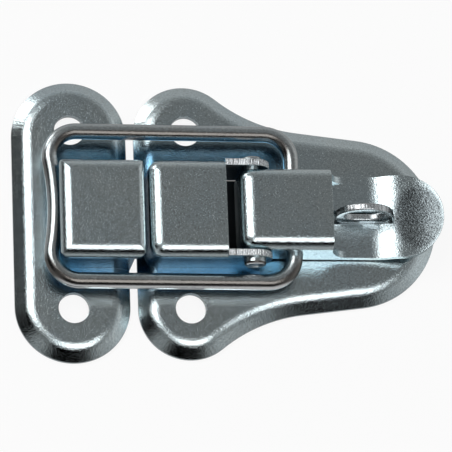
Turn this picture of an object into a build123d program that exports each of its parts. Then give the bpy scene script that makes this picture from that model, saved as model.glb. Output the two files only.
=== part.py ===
from build123d import *
from math import acos, asin, atan2, cos, degrees, radians, sin, tan
import os

# Over centre toggle latch, drawn closed on its mounting plane.
# X runs from the keeper to the thumb tab, Y across the latch, Z up from the mounting plane, in mm.

# Sheet and plates
sheet = 1.2
plate_rise = 2.6
rim_foot = 0.6
rim_reach = 2.4
rim_shoulder = 3.0
rim_inside_foot = 0.1
overall_length = 75.4
keeper_width = 20.2
keeper_height = 51.0
plate_gap = 1.4
ear_radius = 9.0
ear_reach = 24.9
lobe_radius = 15.5
flare_radius = 28.0
flare_slope = 7.0
lobe_inset = 0.3
rivet_hole_radius = 2.7
rivet_hole_spacing = 32.4
third_hole_inset = 49.5

# Raised hoods of the two plates
hood_top = 10.5
keeper_hood_half_width = 8.9
base_hood_half_width = 8.8
hood_shoulder = 2.2
hood_corner = 1.6
base_hood_corner = 2.4
hook_wall_inset = 8.7
lip_hook = 0.4
lip_radius = 2.2
lip_end_angle = 155.0
keeper_lip_reach = 2.0
keeper_lip_roll = 1.5
keeper_lip_drop = 2.3
base_hood_inset = 1.2
base_hood_length = 13.6

# Pivot of the lever
pivot_inset = 19.7
pivot_height = 8.0
pivot_radius = 1.3
pivot_play = 0.05
pivot_head_radius = 1.95
pivot_head_rise = 1.2
pivot_stake_rise = 0.8
pivot_ear_radius = 3.1

# Lever
lever_side_play = 0.2
lever_foot_reach = 3.2
nose_radius = 2.8
nose_drop = 2.5
lever_hood_length = 16.5
lever_wall_foot = 3.9
lever_shoulder = 2.2
tab_clearance = 0.6
tab_half_width = 7.5
tab_tip_length = 7.2
tab_ramp_inset = 13.2
tab_ramp_radius = 9.0
tab_ramp_angle = 22.0
tab_pad_angle = 4.0
tab_pad_length = 2.0
tab_tip_radius = 14.0
tab_tip_angle = 35.0
slot_half_width = 1.25
slot_end = 66.7
slot_notch_length = 3.0
slot_notch_depth = 0.9
slot_notch_inset = 2.4

# Staple for the padlock
staple_thickness = 1.2
staple_inset = 61.2
staple_radius = 5.0
staple_centre_height = 6.4
eye_radius = 2.5
eye_spread = 1.1
eye_height = 7.3
neck_half_width = 3.6

# Wire bail
wire_radius = 1.4
wire_play = 0.08
crossbar_reach = 7.4
crossbar_height = 6.0
hooked_height = 7.0
hook_clearance = 0.55
bail_half_width = 13.5
bail_side_shift = 1.1
bail_corner = 4.8
bow_angle = 10.5

# Positions worked out from the sizes above
left_end = -overall_length / 2
right_end = overall_length / 2
keeper_right = left_end + keeper_width
keeper_centre = left_end + keeper_width / 2
base_left = keeper_right + plate_gap
ear_centre = base_left + ear_radius
lobe_centre = right_end - lobe_inset - lobe_radius
hole_y = rivet_hole_spacing / 2
ear_y = ear_reach - ear_radius
flare_tilt = radians(flare_slope)
flare_drop = lobe_radius + sin(flare_tilt) * (lobe_centre - ear_centre) - cos(flare_tilt) * ear_y
flare_reach = ear_radius + flare_radius
flare_angle = degrees(asin((flare_radius + flare_drop) / flare_reach)) - flare_slope
flare_x = ear_centre + flare_reach * cos(radians(flare_angle))
flare_y = ear_y + flare_reach * sin(radians(flare_angle))
base_hood_left = base_left + base_hood_inset
base_hood_right = base_hood_left + base_hood_length
pivot_x = base_left + pivot_inset
hook_wall = left_end + hook_wall_inset
hood_inside = hood_top - sheet
rim_drop = plate_rise - rim_foot
dish_drop = plate_rise - sheet - rim_inside_foot
dish_reach = dish_drop * rim_reach / rim_drop
lever_top = pivot_height + nose_radius
lever_nose = pivot_x - nose_radius
lever_hood_right = lever_nose + lever_hood_length
tab_bottom = plate_rise + tab_clearance
tab_top = tab_bottom + sheet
tab_middle = tab_bottom + sheet / 2
slot_right = left_end + slot_end
staple_x = left_end + staple_inset
crossbar_x = pivot_x + crossbar_reach
hooked_x = hook_wall - hook_clearance - wire_radius
ear_inside = base_hood_half_width - sheet
lever_half_width = ear_inside - lever_side_play
ear_z = hood_top - pivot_ear_radius
ear_foot = pivot_x - 1.5
window_length = ear_foot - base_hood_left
third_hole_x = left_end + third_hole_inset
lip_x = hook_wall + lip_radius - sheet - lip_hook
lip_z = hood_top - lip_radius
lip_wall_angle = degrees(acos((hook_wall - lip_x) / (lip_radius - sheet)))
keeper_lip = keeper_right + keeper_lip_reach
bail_tilt = atan2(hooked_height - crossbar_height, crossbar_x - hooked_x)
bail_high = bail_side_shift + bail_half_width
bail_low = bail_side_shift - bail_half_width
bow_half_chord = bail_half_width - bail_corner * (1 + sin(radians(bow_angle)))
bow_depth = bow_half_chord * tan(radians(bow_angle / 2))
bow_middle = (hooked_x - crossbar_x) / cos(bail_tilt)
bow_centre = bow_middle - bow_depth + bail_corner * cos(radians(bow_angle))
bail_plane = Plane(
    origin=(crossbar_x, 0, crossbar_height),
    x_dir=(cos(bail_tilt), 0, -sin(bail_tilt)),
    z_dir=(sin(bail_tilt), 0, cos(bail_tilt)),
)


# Keeper hood from outside, with its lip drawn over toward the bail:
# the side view, trimmed by the end view and then by the view from above
with BuildPart() as keeper_hood:
    with BuildSketch(Plane.XZ):
        with BuildLine():
            lip_inner = CenterArc((lip_x, lip_z), lip_radius - sheet, lip_wall_angle, lip_end_angle - lip_wall_angle)
            lip_outer = CenterArc((lip_x, lip_z), lip_radius, 90, lip_end_angle - 90)
            right_roll = CenterArc((keeper_lip - keeper_lip_roll, hood_top - keeper_lip_roll), keeper_lip_roll, 0, 90)
            Line(lip_inner @ 1, lip_outer @ 1)
            Line(right_roll @ 1, lip_outer @ 0)
            Polyline(
                lip_inner @ 0,
                (hook_wall, plate_rise - sheet),
                (keeper_right - rim_reach, plate_rise - sheet),
                (keeper_right, rim_foot / 2),
                (keeper_right, hood_top - keeper_lip_drop),
                (keeper_lip, hood_top - keeper_lip_drop),
                right_roll @ 0,
            )
        make_face()
    extrude(amount=keeper_hood_half_width, both=True)
    with BuildSketch(Plane.YZ.offset(left_end)) as hood_end_view:
        Rectangle(2 * keeper_hood_half_width, 2 * hood_top)
        fillet(hood_end_view.vertices().group_by(Axis.Z)[-1], radius=hood_shoulder)
    extrude(amount=overall_length, mode=Mode.INTERSECT)
    with BuildSketch():
        with Locations((lip_x - lip_radius, 0)):
            RectangleRounded(
                keeper_lip - lip_x + lip_radius,
                2 * keeper_hood_half_width,
                hood_corner,
                align=(Align.MIN, Align.CENTER),
            )
        with Locations((lip_x, 0)):
            Rectangle(keeper_right - lip_x, 2 * keeper_hood_half_width, align=(Align.MIN, Align.CENTER))
    extrude(amount=2 * hood_top, mode=Mode.INTERSECT)

with BuildPart() as keeper_hollow:
    with BuildSketch(Plane.XZ):
        with BuildLine():
            right_inside = CenterArc(
                (keeper_lip - keeper_lip_roll, hood_top - keeper_lip_roll), keeper_lip_roll - sheet, 0, 90
            )
            Polyline(
                right_inside @ 1,
                (hook_wall + sheet, hood_inside),
                (hook_wall + sheet, -1),
                (keeper_lip + 1, -1),
                (keeper_lip + 1, hood_top - keeper_lip_drop),
                (keeper_lip - sheet, hood_top - keeper_lip_drop),
                right_inside @ 0,
            )
        make_face()
    extrude(amount=keeper_hood_half_width - sheet, both=True)
    ceiling = keeper_hollow.faces().filter_by(Axis.Z).sort_by(Axis.Z)[-1]
    fillet(ceiling.edges().filter_by(Axis.X), radius=hood_shoulder - sheet)

with BuildPart() as keeper_dish:
    with BuildSketch():
        with Locations((keeper_centre, 0)):
            SlotOverall(keeper_height - 2 * sheet, keeper_width - 2 * sheet, rotation=90)
    extrude(amount=plate_rise - sheet)
    chamfer(keeper_dish.faces().sort_by(Axis.Z)[-1].edges(), length=dish_drop, length2=dish_reach)
    fillet(keeper_dish.faces().sort_by(Axis.Z)[-1].edges(), radius=rim_shoulder - sheet)

# Keeper plate: one pressing, an obround dish with the hooked hood drawn up out of it
with BuildPart() as keeper_plate:
    with BuildSketch():
        with Locations((keeper_centre, 0)):
            SlotOverall(keeper_height, keeper_width, rotation=90)
    extrude(amount=plate_rise)
    chamfer(keeper_plate.faces().sort_by(Axis.Z)[-1].edges(), length=rim_drop, length2=rim_reach)
    fillet(keeper_plate.faces().sort_by(Axis.Z)[-1].edges(), radius=rim_shoulder)
    add(keeper_dish.part, mode=Mode.SUBTRACT)
    add(keeper_hood.part)
    add(keeper_hollow.part, mode=Mode.SUBTRACT)
    with Locations((keeper_centre, hole_y, plate_rise), (keeper_centre, -hole_y, plate_rise)):
        Hole(rivet_hole_radius)

# Base hood from outside, square where it is cut off toward the lever
with BuildPart() as base_hood:
    with BuildSketch(Plane.XY.offset(plate_rise - sheet)):
        with Locations((base_hood_left, 0)):
            Rectangle(base_hood_length, 2 * base_hood_half_width, align=(Align.MIN, Align.CENTER))
    extrude(amount=hood_top - plate_rise + sheet)
    fillet(base_hood.edges().filter_by(Axis.Z).group_by(Axis.X)[0], radius=base_hood_corner)
    top_face = base_hood.faces().sort_by(Axis.Z)[-1]
    shoulder_edges = top_face.edges().filter_by_position(Axis.X, base_hood_left - 1, base_hood_right - 0.01)
    fillet(shoulder_edges, radius=hood_shoulder)

with BuildPart() as base_hollow:
    with BuildSketch(Plane.XY.offset(-1)):
        with Locations((base_hood_left + sheet, 0)):
            Rectangle(window_length, 2 * ear_inside, align=(Align.MIN, Align.CENTER))
    extrude(amount=hood_inside + 1)
    ceiling = base_hollow.faces().sort_by(Axis.Z)[-1]
    ceiling_edges = ceiling.edges().filter_by_position(Axis.X, base_hood_left, base_hood_right)
    fillet(ceiling_edges, radius=hood_shoulder - sheet)

# Pivot ears, carried on from the side walls of the base hood
with BuildPart() as pivot_ears:
    with BuildSketch(Plane.XZ.offset(ear_inside)):
        with BuildLine():
            ear_end = CenterArc((pivot_x, ear_z), pivot_ear_radius, -40, 130)
            Polyline(
                ear_end @ 0,
                (ear_foot, plate_rise - sheet),
                (base_hood_right, plate_rise - sheet),
                (base_hood_right, hood_top),
                ear_end @ 1,
            )
        make_face()
        with Locations((pivot_x, pivot_height)):
            Circle(pivot_radius, mode=Mode.SUBTRACT)
    extrude(amount=sheet)
    mirror(about=Plane.XZ)

# Bell outline of the base plate: two ears, a hollow flare and the lobe under the thumb tab
with BuildSketch() as base_outline:
    with BuildLine():
        ear_arc = CenterArc((ear_centre, ear_y), ear_radius, 180, flare_angle - 180)
        flare_arc = CenterArc((flare_x, flare_y), flare_radius, 180 + flare_angle, 90 - flare_slope - flare_angle)
        lobe_arc = CenterArc((lobe_centre, 0), lobe_radius, 0, 90 - flare_slope)
        Line((base_left, 0), ear_arc @ 0)
        Line(flare_arc @ 1, lobe_arc @ 1)
        mirror(about=Plane.XZ)
    make_face()

with BuildPart() as base_dish:
    with BuildSketch():
        add(base_outline.sketch)
        offset(amount=-sheet)
    extrude(amount=plate_rise - sheet)
    chamfer(base_dish.faces().sort_by(Axis.Z)[-1].edges(), length=dish_drop, length2=dish_reach)
    fillet(base_dish.faces().sort_by(Axis.Z)[-1].edges(), radius=rim_shoulder - sheet)

# Base plate: one pressing with its hood and ears
with BuildPart() as base_plate:
    with BuildSketch():
        add(base_outline.sketch)
    extrude(amount=plate_rise)
    chamfer(base_plate.faces().sort_by(Axis.Z)[-1].edges(), length=rim_drop, length2=rim_reach)
    fillet(base_plate.faces().sort_by(Axis.Z)[-1].edges(), radius=rim_shoulder)
    add(base_dish.part, mode=Mode.SUBTRACT)
    add(base_hood.part)
    add(base_hollow.part, mode=Mode.SUBTRACT)
    add(pivot_ears.part)
    with Locations(
        (ear_centre, hole_y, plate_rise),
        (ear_centre, -hole_y, plate_rise),
        (third_hole_x, 0, plate_rise),
    ):
        Hole(rivet_hole_radius, depth=2 * sheet)
    # slot for the foot of the staple
    with BuildSketch():
        with Locations((staple_x, 0)):
            Rectangle(2 * neck_half_width, staple_thickness)
    extrude(amount=plate_rise, mode=Mode.SUBTRACT)

# Staple: a flat round eye whose foot is staked into the base plate
with BuildPart() as padlock_staple:
    with BuildSketch(Plane.XZ):
        with Locations((staple_x, staple_centre_height)):
            Circle(staple_radius)
        with Locations((staple_x, plate_rise)):
            Rectangle(4 * staple_radius, 2 * staple_radius, align=(Align.CENTER, Align.MAX), mode=Mode.SUBTRACT)
        with Locations((staple_x, plate_rise - sheet)):
            Rectangle(2 * neck_half_width, staple_radius, align=(Align.CENTER, Align.MIN))
        with Locations((staple_x, eye_height)):
            SlotCenterToCenter(2 * eye_spread, 2 * eye_radius, mode=Mode.SUBTRACT)
    extrude(amount=staple_thickness / 2, both=True)
    flat_sides = padlock_staple.faces().filter_by(Axis.Y)
    fillet(flat_sides.edges().filter_by_position(Axis.Z, plate_rise + 0.1, hood_top + 5), radius=0.2)

# Lever hood from outside: a channel whose nose curls round the pivot
with BuildPart() as lever_hood:
    with BuildSketch(Plane.XZ):
        with BuildLine():
            nose = CenterArc((pivot_x, pivot_height), nose_radius, 90, 90)
            wall_flare = Spline(
                (lever_hood_right, lever_top - lever_shoulder),
                (lever_hood_right + 0.7, tab_top + 2.0),
                (lever_hood_right + lever_foot_reach, tab_top),
                tangents=((0.1, -1), (1, -0.1)),
            )
            Line(nose @ 0, (lever_hood_right, lever_top))
            Line((lever_hood_right, lever_top), wall_flare @ 0)
            Polyline(
                wall_flare @ 1,
                (lever_hood_right + lever_foot_reach, tab_bottom),
                (lever_hood_right - 3.0, tab_bottom),
                (lever_nose + 2.0, lever_wall_foot),
                (lever_nose, pivot_height - nose_drop),
                nose @ 1,
            )
        make_face()
    extrude(amount=lever_half_width, both=True)
    top_face = lever_hood.faces().filter_by(Axis.Z).sort_by(Axis.Z)[-1]
    fillet(top_face.edges().filter_by(Axis.X), radius=lever_shoulder)

with BuildPart() as lever_hollow:
    with BuildSketch(Plane.XZ):
        with BuildLine():
            nose_inside = CenterArc((pivot_x, pivot_height), nose_radius - sheet, 90, 90)
            Polyline(
                nose_inside @ 1,
                (lever_nose + sheet, -1),
                (lever_hood_right + 4, -1),
                (lever_hood_right + 4, lever_top + 1),
                (lever_hood_right, lever_top + 1),
                (lever_hood_right, lever_top - sheet),
                nose_inside @ 0,
            )
        make_face()
    extrude(amount=lever_half_width - sheet, both=True)

# Thumb tab: bent along its side view, then trimmed to its outline
with BuildPart() as thumb_tab:
    with BuildSketch(Plane.XZ):
        with BuildLine():
            tab_floor = Line((lever_hood_right - sheet, tab_middle), (right_end - tab_ramp_inset, tab_middle))
            ramp_foot = JernArc(tab_floor @ 1, tab_floor % 1, tab_ramp_radius, tab_ramp_angle)
            ramp_crest = JernArc(ramp_foot @ 1, ramp_foot % 1, tab_ramp_radius, tab_pad_angle - tab_ramp_angle)
            tab_pad = PolarLine(ramp_crest @ 1, tab_pad_length, tab_pad_angle)
            JernArc(tab_pad @ 1, tab_pad % 1, tab_tip_radius, tab_tip_angle)
        trace(line_width=sheet)
    extrude(amount=2 * tab_half_width, both=True)
    with BuildSketch():
        with BuildLine():
            Line((lever_hood_right - sheet, 0), (lever_hood_right - sheet, lever_half_width))
            Line((lever_hood_right - sheet, lever_half_width), (lever_hood_right + 4, lever_half_width))
            tip_start = (right_end - tab_tip_length, tab_half_width)
            Spline((lever_hood_right + 4, lever_half_width), tip_start, tangents=((1, 0), (1, 0)))
            TangentArc(tip_start, (right_end, 0), tangent=(1, 0))
            mirror(about=Plane.XZ)
        make_face()
        with Locations((lever_hood_right - 2 * sheet, 0)):
            Rectangle(
                slot_right - lever_hood_right + 2 * sheet,
                2 * slot_half_width,
                align=(Align.MIN, Align.CENTER),
                mode=Mode.SUBTRACT,
            )
        with Locations((slot_right - slot_notch_inset, -slot_half_width)):
            Rectangle(
                slot_notch_length,
                2 * slot_notch_depth,
                align=(Align.MAX, Align.CENTER),
                mode=Mode.SUBTRACT,
            )
    extrude(amount=2 * hood_top, mode=Mode.INTERSECT)

# Lever: one pressing of channel and tab
with BuildPart() as lever:
    add(lever_hood.part)
    add(lever_hollow.part, mode=Mode.SUBTRACT)
    add(thumb_tab.part)
    with BuildSketch(Plane.XZ):
        with Locations((pivot_x, pivot_height)):
            Circle(pivot_radius + pivot_play)
        with Locations((crossbar_x, crossbar_height)):
            Circle(wire_radius + wire_play)
    extrude(amount=2 * lever_half_width, both=True, mode=Mode.SUBTRACT)

# Pivot rivet: a plain shank with a low domed head outside each ear
with BuildPart() as pivot_rivet:
    with BuildSketch(Plane.XZ):
        with Locations((pivot_x, pivot_height)):
            Circle(pivot_radius)
    extrude(amount=base_hood_half_width, both=True)
    with BuildSketch(Plane.XZ.offset(base_hood_half_width)):
        with Locations((pivot_x, pivot_height)):
            Circle(pivot_head_radius)
    extrude(amount=pivot_head_rise)
    fillet(pivot_rivet.faces().sort_by(Axis.Y)[0].edges(), radius=0.5)
    with Locations((pivot_x, -base_hood_half_width - pivot_head_rise - 1.1, pivot_height)):
        Sphere(1.45, mode=Mode.SUBTRACT)
    with BuildSketch(Plane.XZ.offset(-base_hood_half_width)):
        with Locations((pivot_x, pivot_height)):
            Circle(pivot_head_radius)
    extrude(amount=-pivot_stake_rise)
    fillet(pivot_rivet.faces().sort_by(Axis.Y)[-1].edges(), radius=0.6)

# Wire bail: one closed loop of round wire, bowed where it pulls on the hook
with BuildPart() as wire_bail:
    with BuildLine(bail_plane) as bail_path:
        near_upper = CenterArc((-bail_corner, bail_high - bail_corner), bail_corner, 0, 90)
        upper_run = Line(near_upper @ 1, (bow_centre, bail_high))
        hook_upper = CenterArc((bow_centre, bail_high - bail_corner), bail_corner, 90, 90 + bow_angle)
        hook_lower = CenterArc((bow_centre, bail_low + bail_corner), bail_corner, 180 - bow_angle, 90 + bow_angle)
        ThreePointArc(hook_upper @ 1, (bow_middle, bail_side_shift), hook_lower @ 0)
        lower_run = Line(hook_lower @ 1, (-bail_corner, bail_low))
        near_lower = CenterArc((-bail_corner, bail_low + bail_corner), bail_corner, 270, 90)
        Line(near_lower @ 1, near_upper @ 0)
    with BuildSketch(Plane(origin=upper_run @ 0, z_dir=upper_run % 0)):
        Circle(wire_radius)
    sweep(path=bail_path.wire())

keeper_plate.part.label = "keeper_plate"
base_plate.part.label = "base_plate"
padlock_staple.part.label = "padlock_staple"
lever.part.label = "lever"
pivot_rivet.part.label = "pivot_rivet"
wire_bail.part.label = "wire_bail"

os.makedirs("parts", exist_ok=True)
export_step(keeper_plate.part, "parts/keeper_plate.step")
export_step(base_plate.part, "parts/base_plate.step")
export_step(padlock_staple.part, "parts/padlock_staple.step")
export_step(lever.part, "parts/lever.step")
export_step(pivot_rivet.part, "parts/pivot_rivet.step")
export_step(wire_bail.part, "parts/wire_bail.step")
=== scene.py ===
import math
import random

import bpy
from mathutils import Matrix, Vector


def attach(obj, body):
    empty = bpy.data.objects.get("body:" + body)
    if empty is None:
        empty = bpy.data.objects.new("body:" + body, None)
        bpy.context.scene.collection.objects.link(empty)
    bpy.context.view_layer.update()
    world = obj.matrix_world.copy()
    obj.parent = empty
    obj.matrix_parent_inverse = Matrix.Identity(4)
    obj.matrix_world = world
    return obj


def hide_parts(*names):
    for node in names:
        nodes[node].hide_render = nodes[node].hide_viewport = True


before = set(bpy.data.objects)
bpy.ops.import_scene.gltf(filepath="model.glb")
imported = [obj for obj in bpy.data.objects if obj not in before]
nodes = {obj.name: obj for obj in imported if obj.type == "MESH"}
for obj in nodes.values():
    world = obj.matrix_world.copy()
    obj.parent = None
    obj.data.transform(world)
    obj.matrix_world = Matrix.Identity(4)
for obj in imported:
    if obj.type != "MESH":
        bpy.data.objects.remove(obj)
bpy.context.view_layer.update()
print("frame loaded:", len(nodes), "solids")


# a node's output that can be written in sums and products
class Signal:
    def __init__(self, graph, socket):
        self.graph = graph
        self.socket = socket

    def math(self, operation, *values):
        return self.graph.add("ShaderNodeMath", {"operation": operation}, dict(enumerate(values)))

    def __add__(self, other):
        return self.math("ADD", self, other)

    def __radd__(self, other):
        return self.math("ADD", other, self)

    def __sub__(self, other):
        return self.math("SUBTRACT", self, other)

    def __rsub__(self, other):
        return self.math("SUBTRACT", other, self)

    def __mul__(self, other):
        return self.math("MULTIPLY", self, other)

    def __rmul__(self, other):
        return self.math("MULTIPLY", other, self)

    def __abs__(self):
        return self.math("ABSOLUTE", self)


class Graph:
    def __init__(self, tree):
        self.tree = tree
        tree.nodes.clear()

    # settings first, then the values or links of the sockets
    def add(self, kind, settings=None, sockets=None, out=0):
        made = self.tree.nodes.new(kind)
        for name, value in (settings or {}).items():
            if name == "stops":
                while len(made.color_ramp.elements) < len(value):
                    made.color_ramp.elements.new(0.5)
                for element, (place, shade) in zip(made.color_ramp.elements, value):
                    element.position = place
                    element.color = (shade, shade, shade, 1)
            else:
                setattr(made, name, value)
        for key, value in (sockets or {}).items():
            self.fill(made.inputs[key], value)
        return Signal(self, made.outputs[out]) if made.outputs else None

    def fill(self, socket, value):
        if isinstance(value, Signal):
            self.tree.links.new(value.socket, socket)
        else:
            socket.default_value = value

    def axis(self, vector, letter):
        return self.add("ShaderNodeSeparateXYZ", sockets={0: vector}, out=letter)

    def vectorMath(self, operation, first, second=None, out=0):
        values = {0: first} if second is None else {0: first, 1: second}
        return self.add("ShaderNodeVectorMath", {"operation": operation}, values, out)

    def noise(self, place, scale, detail, roughness):
        return self.add(
            "ShaderNodeTexNoise",
            sockets={"Vector": place, "Scale": scale, "Detail": detail, "Roughness": roughness},
        )

    def ramp(self, signal, *stops):
        return self.add("ShaderNodeValToRGB", {"stops": stops}, {"Fac": signal})

    # 0 to 1 as the signal goes from low to high, with soft ends
    def rise(self, signal, low, high):
        return self.add(
            "ShaderNodeMapRange",
            {"interpolation_type": "SMOOTHSTEP"},
            {0: signal, 1: low, 2: high, 3: 0.0, 4: 1.0},
        )

    # 1 inside an upright box of the given plan, 0 a soft edge away from it
    def insidePlan(self, place, left, right, near, far, soft):
        across = self.axis(place, "X")
        along = self.axis(place, "Y")
        return (
            self.rise(across, left - soft, left)
            * (1 - self.rise(across, right, right + soft))
            * self.rise(along, near - soft, near)
            * (1 - self.rise(along, far, far + soft))
        )

    def blendColours(self, factor, first, second):
        return self.add("ShaderNodeMix", {"data_type": "RGBA"}, {0: factor, 6: first, 7: second}, out=2)

    def bump(self, distance, height, normal):
        return self.add(
            "ShaderNodeBump",
            sockets={"Strength": 1.0, "Distance": distance, "Height": height, "Normal": normal},
        )


# metres; a plan is left, right, near, far, and stops are a ramp's places and levels
zincSheet = {
    "name": "bright zinc on pressed sheet",
    "colour": (0.555, 0.632, 0.645, 1),
    "roughness": 0.13,
    "grainRoughness": 0.16,  # how far the grain moves the roughness, and the slow patches
    "patchRoughness": 0.08,
    "grainSize": 0.00030,
    "grainTone": 0.70,
    "grainHeight": 0.000046,
    "waveSize": 0.005,
    "waveHeight": 0.00006,
    "patchScale": 0.35,  # the patches' noise scale over the waves'
    "edgeRadius": 0.00012,
    "edgeSamples": 4,
    # passivation leaves a faint blue in slow patches
    "blueColour": (0.430, 0.560, 0.640, 1),
    "blueStops": ((0.38, 0.0), (0.66, 1.0)),
    "blueShare": 0.30,
    # dark specks and bright sparks, from one noise
    "speckSize": 0.00026,
    "speckColour": (0.280, 0.300, 0.315, 1),
    "speckStops": ((0.56, 0.0), (0.68, 1.0)),
    "speckShare": 0.50,
    "sparkColour": (0.880, 0.900, 0.905, 1),
    "sparkStops": ((0.28, 1.0), (0.38, 0.0)),
    "sparkShare": 0.45,
    # painted reflection and shade: round the hoods a recess is painted a deep blue, on its walls and on
    # its ground
    "recessPaintedReflection": {
        "colour": (0.012, 0.160, 0.290, 1),
        "plan": (-0.0297, 0.0082, -0.0112, 0.0117),
        "soft": 0.0036,
        "top": 0.0090,
        "fade": (0.001, 0.0005),  # below and above the top
        "wallShare": 0.85,
        "groundShare": 0.80,
        "groundLeast": 0.4,  # where the patches add nothing
        "flatLean": (0.25, 0.80),  # a normal's upward part on a wall and on flat ground
    },
    # painted shade: the inside under the base hood is painted near black
    "inside": {
        "colour": (0.020, 0.028, 0.034, 1),
        "plan": (-0.0137, 0.0012, -0.0075, 0.0075),
        "top": 0.0094,
        "soft": 0.0002,
    },
    "pad": None,
    "drawn": None,
}

zincLever = dict(
    zincSheet,
    name="bright zinc on the lever",
    # painted reflection: the lever's walls are painted a light blue
    recessPaintedReflection=dict(
        zincSheet["recessPaintedReflection"],
        colour=(0.400, 0.550, 0.610, 1),
        plan=(-0.0010, 0.0190, -0.0100, 0.0100),
        wallShare=0.60,
        groundShare=0.0,
    ),
    inside=None,
    # the thumb pad: deeper grain, and a painted shade on its ground and its pits
    pad={
        "centre": (0.0334, -0.0003, 0.0),
        "halfLength": 0.0052,
        "halfWidth": 0.0070,
        "starts": 0.70,  # of the way out, where the pad's painted shade and deeper grain start to fade
        "grain": 0.8,  # how much deeper its grain is
        "colour": (0.050, 0.056, 0.060, 1),
        "share": 0.50,  # of the painted shade on its ground; the pits take all of it
        "pitStops": ((0.36, 1.0), (0.66, 0.0)),
    },
)

zincWire = dict(
    zincSheet,
    name="bright zinc on drawn wire",
    colour=(0.460, 0.490, 0.490, 1),
    roughness=0.22,
    grainHeight=0.000026,
    waveSize=0.003,
    waveHeight=0.000020,
    blueShare=0.25,
    recessPaintedReflection=None,
    inside=None,
    # painted shade on the wire's near side and a painted reflection on its lowest flank, each from
    # where the normal leans so far to the near side
    drawn={
        "darkFrom": 0.08,
        "flankFrom": 0.72,
        "soft": 0.13,
        "colour": (0.100, 0.088, 0.078, 1),
        "share": 0.90,
        "flankReflection": (0.920, 0.930, 0.940, 1),
    },
)

zincSheared = dict(
    zincSheet,
    name="bright zinc on sheared edges",
    colour=(0.560, 0.580, 0.590, 1),
    roughness=0.26,
    grainHeight=0.000030,
    blueShare=0.15,
    recessPaintedReflection=None,
    inside=None,
)


# how much of a recess's painted reflection and shade colour a spot takes
def recessPaintedReflectionShare(graph, recessPaintedReflection, place, facing, patch):
    flat = graph.rise(abs(graph.axis(facing, "Z")), *recessPaintedReflection["flatLean"])
    ground = flat * recessPaintedReflection["groundShare"] * (recessPaintedReflection["groundLeast"] + patch)
    below, above = recessPaintedReflection["fade"]
    low = 1 - graph.rise(graph.axis(place, "Z"), recessPaintedReflection["top"] - below, recessPaintedReflection["top"] + above)
    within = graph.insidePlan(place, *recessPaintedReflection["plan"], recessPaintedReflection["soft"])
    return within * low * ((1 - flat) * recessPaintedReflection["wallShare"] + ground)


# how much of the painted shade under the base hood a spot takes
def hoodShadeShare(graph, inside, place):
    under = 1 - graph.rise(graph.axis(place, "Z"), inside["top"], inside["top"] + inside["soft"])
    return graph.insidePlan(place, *inside["plan"], inside["soft"]) * under


# painted shade on the wire's near side, and a painted reflection on its lowest flank
def drawnTone(graph, drawn, facing, tone):
    lean = 0 - graph.axis(facing, "Y")
    soft = drawn["soft"]
    dark = graph.rise(lean, drawn["darkFrom"] - soft, drawn["darkFrom"] + soft)
    flankReflection = graph.rise(lean, drawn["flankFrom"] - soft, drawn["flankFrom"] + soft)
    tone = graph.blendColours(dark * drawn["share"], tone, drawn["colour"])
    return graph.blendColours(flankReflection, tone, drawn["flankReflection"])


# 1 on the thumb pad with its painted shade, fading to 0 at its oval rim
def padShadeShare(graph, pad, place):
    offset = graph.vectorMath("SUBTRACT", place, pad["centre"])
    scaled = graph.vectorMath("MULTIPLY", offset, (1 / pad["halfLength"], 1 / pad["halfWidth"], 0.0))
    return 1 - graph.rise(graph.vectorMath("LENGTH", scaled, out="Value"), pad["starts"], 1.0)


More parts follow.
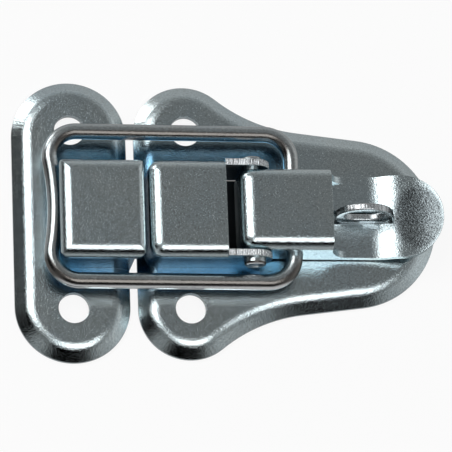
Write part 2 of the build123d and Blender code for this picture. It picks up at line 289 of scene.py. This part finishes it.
def zincFinish(look):
    material = bpy.data.materials.new(look["name"])
    material.use_nodes = True
    graph = Graph(material.node_tree)
    place = graph.add("ShaderNodeTexCoord", out="Object")
    facing = graph.add("ShaderNodeTexCoord", out="Normal")
    grain = graph.noise(place, 1 / look["grainSize"], detail=3.0, roughness=0.6)
    wave = graph.noise(place, 1 / look["waveSize"], detail=2.0, roughness=0.5)
    patch = graph.noise(place, look["patchScale"] / look["waveSize"], detail=3.0, roughness=0.6)
    speck = graph.noise(place, 1 / look["speckSize"], detail=2.0, roughness=0.7)
    blue = graph.ramp(patch, *look["blueStops"]) * look["blueShare"]
    dots = graph.ramp(speck, *look["speckStops"]) * look["speckShare"]
    sparks = graph.ramp(speck, *look["sparkStops"]) * look["sparkShare"]
    tone = graph.blendColours(blue, look["colour"], look["blueColour"])
    if look["recessPaintedReflection"]:
        # the recess's painted reflection and shade, with no sparks there
        reflectionPaint = recessPaintedReflectionShare(graph, look["recessPaintedReflection"], place, facing, patch)
        tone = graph.blendColours(reflectionPaint, tone, look["recessPaintedReflection"]["colour"])
        sparks = sparks * (1 - reflectionPaint)
    tone = graph.blendColours(dots, tone, look["speckColour"])
    tone = graph.blendColours(sparks, tone, look["sparkColour"])
    level = 1 + (grain - 0.5) * look["grainTone"]
    tone = graph.add("ShaderNodeVectorMath", {"operation": "SCALE"}, {0: tone, "Scale": level})
    if look["inside"]:
        # the inside under the base hood is painted near black, as painted shade
        hoodShade = hoodShadeShare(graph, look["inside"], place)
        tone = graph.blendColours(hoodShade, tone, look["inside"]["colour"])
    if look["drawn"]:
        # the wire's painted shade and painted reflection
        tone = drawnTone(graph, look["drawn"], facing, tone)
    rough = (
        look["roughness"]
        + (grain - 0.5) * look["grainRoughness"]
        + (patch - 0.5) * look["patchRoughness"]
    )
    if look["pad"]:
        pad = look["pad"]
        # the thumb pad's painted shade, and its deeper grain
        shadedPad = padShadeShare(graph, pad, place)
        dark = pad["share"] + (1 - pad["share"]) * graph.ramp(speck, *pad["pitStops"])
        tone = graph.blendColours(shadedPad * dark, tone, pad["colour"])
        grain = grain * (1 + shadedPad * pad["grain"])
    softEdge = graph.add(
        "ShaderNodeBevel", {"samples": look["edgeSamples"]}, {"Radius": look["edgeRadius"]}
    )
    relief = graph.bump(look["waveHeight"], wave, softEdge)
    relief = graph.bump(look["grainHeight"], grain, relief)
    shader = graph.add(
        "ShaderNodeBsdfPrincipled",
        sockets={"Base Color": tone, "Metallic": 1.0, "Roughness": rough, "Normal": relief},
    )
    graph.add("ShaderNodeOutputMaterial", sockets={"Surface": shader})
    return material


def dress(piece, material):
    piece.data.materials.clear()
    piece.data.materials.append(material)
    for face in piece.data.polygons:
        face.material_index = 0


sheetMetal = zincFinish(zincSheet)
shearedMetal = zincFinish(zincSheared)
leverMetal = zincFinish(zincLever)
wireMetal = zincFinish(zincWire)
for name in ("keeper_plate", "base_plate", "padlock_staple"):
    dress(nodes[name], sheetMetal)
dress(nodes["lever"], leverMetal)
for name in ("pivot_rivet", "wire_bail"):
    dress(nodes[name], wireMetal)
print("finishes applied")


# a small sheared edge that belongs to the plates
def shearedPiece(name, points, faces):
    mesh = bpy.data.meshes.new(name)
    mesh.from_pydata(points, [], faces)
    mesh.validate()
    mesh.materials.append(shearedMetal)
    piece = bpy.data.objects.new(name, mesh)
    bpy.context.scene.collection.objects.link(piece)
    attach(piece, "plates")
    return piece


earLook = {
    "start": -0.0013,  # where the base hood is cut off
    "pivot": 0.0036,
    "top": 0.0105,
    "round": 0.0031,
    "end": -25.0,  # degrees round the ear's nose
    "inner": 0.00765,
    "outer": 0.00875,
    "pitch": 0.00030,
    "tooth": 0.00010,
    "leastTooth": 0.15,  # the lowest tooth, as a share of the highest
    "profile": (0.2, 1.0, 0.8, 0.1),  # along one tooth
    "innerShare": 0.7,  # of a tooth's height, at the two sides of the ear
    "outerShare": 0.6,
    "foot": 0.00015,
    "seed": 7,
}


# torn teeth that shearing leaves on the top of a pivot ear
def shearedEar(look, side):
    rng = random.Random(look["seed"] + side)
    bend = math.radians(90 - look["end"])
    straight = look["pivot"] - look["start"]
    length = straight + look["round"] * bend
    perTooth = len(look["profile"])
    steps = int(length / look["pitch"]) * perTooth
    inner, outer, foot = look["inner"], look["outer"], look["foot"]
    points, faces = [], []
    tooth = 0.0
    for step in range(steps + 1):
        along = length * step / steps
        if step % perTooth == 0:
            tooth = look["tooth"] * rng.uniform(look["leastTooth"], 1.0)
        lift = tooth * look["profile"][step % perTooth]
        if along < straight:
            x, z, turn = look["start"] + along, look["top"], math.pi / 2
        else:
            turn = math.pi / 2 - (along - straight) / look["round"]
            x = look["pivot"] + look["round"] * math.cos(turn)
            z = look["top"] - look["round"] + look["round"] * math.sin(turn)
        section = (
            (inner, -foot),
            (inner, lift * look["innerShare"]),
            ((inner + outer) / 2, lift),
            (outer, lift * look["outerShare"]),
            (outer, -foot),
        )
        ring = len(section)
        for y, rise in section:
            points.append((x + rise * math.cos(turn), side * y, z + rise * math.sin(turn)))
        if step:
            new, old = step * ring, (step - 1) * ring
            for k in range(ring):
                n = (k + 1) % ring
                faces.append((old + k, old + n, new + n, new + k))
    last = steps * ring
    faces.append(tuple(range(ring)))
    faces.append(tuple(range(last + ring - 1, last - 1, -1)))
    if side > 0:
        faces = [face[::-1] for face in faces]
    shearedPiece("shearedEarFar" if side > 0 else "shearedEarNear", points, faces)


stapleLook = {
    "middle": (0.0235, 0.0064),
    "radius": 0.0050,
    "ground": 0.0026,
    "eyeHeight": 0.0073,
    "eyeRadius": 0.0025,
    "eyeSpread": 0.0011,
    "thickness": 0.0012,
    "edge": 0.00022,
    "edgePoints": 4,
    "tear": 0.00006,
    "tearSpread": 0.4,  # how much a tear takes from the one before it
    "tearBack": 0.6,  # the tear's share on the back edge
    "around": 240,
    "neck": 0.0036,
    "neckFoot": 0.0014,
    "seed": 3,
}


# where a ray from the eye's middle leaves the staple, and where it leaves the eye
def stapleRay(look, turn):
    middleX, middleZ = look["middle"]
    dx, dz = math.cos(turn), math.sin(turn)
    drop = look["eyeHeight"] - middleZ
    outer = -drop * dz + math.sqrt((drop * dz) ** 2 - drop**2 + look["radius"] ** 2)
    flat = dz < 0 and outer * -dz > look["eyeHeight"] - look["ground"]
    if flat:
        outer = (look["eyeHeight"] - look["ground"]) / -dz
    spread, radius = look["eyeSpread"], look["eyeRadius"]
    if abs(dz) > 1e-9 and abs(radius / dz * dx) <= spread:
        inner = radius / abs(dz)
    else:
        inner = spread * abs(dx) + math.sqrt(radius**2 - (spread * dz) ** 2)
    return (middleX, look["eyeHeight"]), (dx, dz), outer, inner, flat


# an upright box as eight corners and six faces, numbered from the first point given
def boxPoints(left, right, near, far, foot, top, first):
    points = [(x, y, z) for x in (left, right) for y in (near, far) for z in (foot, top)]
    sides = ((0, 1, 3, 2), (4, 6, 7, 5), (0, 4, 5, 1), (2, 3, 7, 6), (0, 2, 6, 4), (1, 5, 7, 3))
    return points, [tuple(first + k for k in side) for side in sides]


def tornStaple(look):
    rng = random.Random(look["seed"])
    tears = [rng.uniform(-1, 1) for _ in range(look["around"])]
    half, edge, edgePoints = look["thickness"] / 2, look["edge"], look["edgePoints"]
    spread = look["tearSpread"]
    ring = 4 * edgePoints
    points, faces = [], []
    for step in range(look["around"]):
        turn = 2 * math.pi * step / look["around"]
        (x, z), (dx, dz), outer, inner, flat = stapleRay(look, turn)
        tear = 0.0 if flat else look["tear"] * (tears[step] * (1 - spread) + tears[step - 1] * spread)
        # the middles of the four rounded corners of the section, each a quarter turn on
        corners = (
            (outer + tear - edge, half - edge),
            (outer + tear * look["tearBack"] - edge, edge - half),
            (inner + edge, edge - half),
            (inner + edge, half - edge),
        )
        for quarter, (cornerReach, cornerY) in enumerate(corners):
            for k in range(edgePoints):
                bow = math.pi / 2 * (1 - quarter - k / (edgePoints - 1))
                reach = cornerReach + edge * math.cos(bow)
                points.append((x + dx * reach, cornerY + edge * math.sin(bow), z + dz * reach))
        here, there = step * ring, (step + 1) % look["around"] * ring
        for k in range(ring):
            n = (k + 1) % ring
            faces.append((here + k, there + k, there + n, here + n))
    # the neck goes down through the plate
    middle, neck = look["middle"][0], look["neck"]
    neckPoints, neckFaces = boxPoints(
        middle - neck, middle + neck, -half, half, look["neckFoot"], look["ground"] + edge, len(points)
    )
    piece = shearedPiece("tornStaple", points + neckPoints, faces + neckFaces)
    piece.data.shade_smooth()
    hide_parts("padlock_staple")


for side in (-1, 1):
    shearedEar(earLook, side)
tornStaple(stapleLook)
print("worked edges added")


floorLook = {
    "width": 6.0,
    "height": -0.0001,
    "white": 0.82,
    "glow": 0.90,
    "mirrored": 0.30,  # the table as the metal sees it
    # the dark under the two hoods
    "shades": ((-0.0137, 0.0060, -0.0078, 0.0078), (-0.0275, -0.0185, -0.0075, 0.0075)),
    "shadeSoft": 0.0006,
    "shadeColour": (0.04, 0.045, 0.05, 1),
}


def makeFloor(look):
    bpy.ops.mesh.primitive_plane_add(size=look["width"], location=(0, 0, look["height"]))
    floor = bpy.context.object
    floor.name = "floor"
    material = bpy.data.materials.new("white table")
    material.use_nodes = True
    graph = Graph(material.node_tree)
    white, dim = look["white"], look["mirrored"]
    place = graph.add("ShaderNodeTexCoord", out="Object")
    seen = graph.add("ShaderNodeLightPath", out="Is Camera Ray")
    mirrored = graph.add("ShaderNodeLightPath", out="Is Glossy Ray")
    through = graph.add("ShaderNodeLightPath", out="Is Transmission Ray")
    shade = sum(graph.insidePlan(place, *plan, look["shadeSoft"]) for plan in look["shades"])
    colour = graph.blendColours(shade, (white, white, white, 1), look["shadeColour"])
    colour = graph.blendColours(mirrored, colour, (dim, dim, dim, 1))
    paper = graph.add("ShaderNodeBsdfDiffuse", sockets={"Color": colour})
    glow = graph.add("ShaderNodeEmission", sockets={"Color": (1, 1, 1, 1), "Strength": 1.0})
    share = (seen + mirrored * dim + through) * look["glow"] * (1 - shade)
    both = graph.add("ShaderNodeMixShader", sockets={0: share, 1: paper, 2: glow})
    graph.add("ShaderNodeOutputMaterial", sockets={"Surface": both})
    floor.data.materials.append(material)


lampLooks = [
    {"name": "left softbox", "from": (-0.46, 0.26, 0.70), "size": (0.40, 0.60), "radiance": 3.2},
    {"name": "front softbox", "from": (0.12, -0.38, 0.79), "size": (0.52, 0.44), "radiance": 2.3},
    {"name": "far softbox", "from": (-0.58, 0.66, 0.14), "size": (0.36, 0.30), "radiance": 4.0},
]


def makeLamp(look):
    lamp = bpy.data.lights.new(look["name"], "AREA")
    lamp.shape = "RECTANGLE"
    lamp.size, lamp.size_y = look["size"]
    # an area lamp of power P and area A has radiance P / (A pi)
    lamp.energy = look["radiance"] * math.pi * lamp.size * lamp.size_y
    holder = bpy.data.objects.new(look["name"], lamp)
    holder.location = look["from"]
    holder.rotation_mode = "QUATERNION"
    holder.rotation_quaternion = Vector(look["from"]).to_track_quat("Z", "Y")
    holder.visible_camera = False
    bpy.context.scene.collection.objects.link(holder)


skyLook = {
    "levels": ((0.0, 0.55), (0.45, 0.34), (0.9, 0.20)),  # from the horizon to the zenith
    # direction, the cosines where the change starts and is full, and how far the level moves
    "patches": [
        {"toward": (-0.93, 0.05, 0.30), "starts": 0.78, "full": 0.93, "change": -0.37},
        {"toward": (0.00, -0.92, 0.38), "starts": 0.77, "full": 0.93, "change": -0.35},
        {"toward": (-0.52, 0.30, 0.80), "starts": 0.87, "full": 0.97, "change": 0.7},
        {"toward": (0.14, -0.42, 0.90), "starts": 0.89, "full": 0.97, "change": 0.5},
        {"toward": (0.95, 0.10, 0.20), "starts": 0.75, "full": 0.97, "change": 0.25},
    ],
}


def makeSky(look):
    world = bpy.data.worlds.new("studio room")
    world.use_nodes = True
    bpy.context.scene.world = world
    graph = Graph(world.node_tree)
    place = graph.add("ShaderNodeTexCoord", out="Generated")
    level = graph.ramp(graph.axis(place, "Z"), *look["levels"])
    for patch in look["patches"]:
        toward = Vector(patch["toward"]).normalized()
        nearness = graph.vectorMath("DOT_PRODUCT", place, toward, out="Value")
        level = level + graph.rise(nearness, patch["starts"], patch["full"]) * patch["change"]
    air = graph.add("ShaderNodeBackground", sockets={"Color": level, "Strength": 1.0})
    graph.add("ShaderNodeOutputWorld", sockets={"Surface": air})


makeFloor(floorLook)
for look in lampLooks:
    makeLamp(look)
makeSky(skyLook)
print("studio lit")


# degrees and metres, with the lens and the sensor in millimetres
cameraLook = {
    "azimuth": -28.3604,
    "elevation": 71.0769,
    "roll": 27.4720,
    "distance": 0.69356,
    "target": (0.0013, 0.0, 0.004),
    "lens": 315.222,
    "sensor": 36.0,
    "shiftX": -0.0236,
    "shiftY": -0.0191,
    "clip": (0.01, 50.0),
}


def makeCamera(look):
    azimuth = math.radians(look["azimuth"])
    elevation = math.radians(look["elevation"])
    roll = math.radians(look["roll"])
    back = Vector(
        (
            math.cos(elevation) * math.sin(azimuth),
            -math.cos(elevation) * math.cos(azimuth),
            math.sin(elevation),
        )
    )
    level = Vector((math.cos(azimuth), math.sin(azimuth), 0))
    upright = back.cross(level)
    right = level * math.cos(roll) + upright * math.sin(roll)
    up = upright * math.cos(roll) - level * math.sin(roll)
    data = bpy.data.cameras.new("camera")
    data.lens = look["lens"]
    data.sensor_width = look["sensor"]
    data.shift_x = look["shiftX"]
    data.shift_y = look["shiftY"]
    data.clip_start, data.clip_end = look["clip"]
    camera = bpy.data.objects.new("camera", data)
    turn = Matrix((right, up, back)).transposed().to_4x4()
    camera.matrix_world = Matrix.Translation(Vector(look["target"]) + back * look["distance"]) @ turn
    bpy.context.scene.collection.objects.link(camera)
    bpy.context.scene.camera = camera


makeCamera(cameraLook)
bpy.context.scene.view_settings.view_transform = "Standard"
print("camera placed")
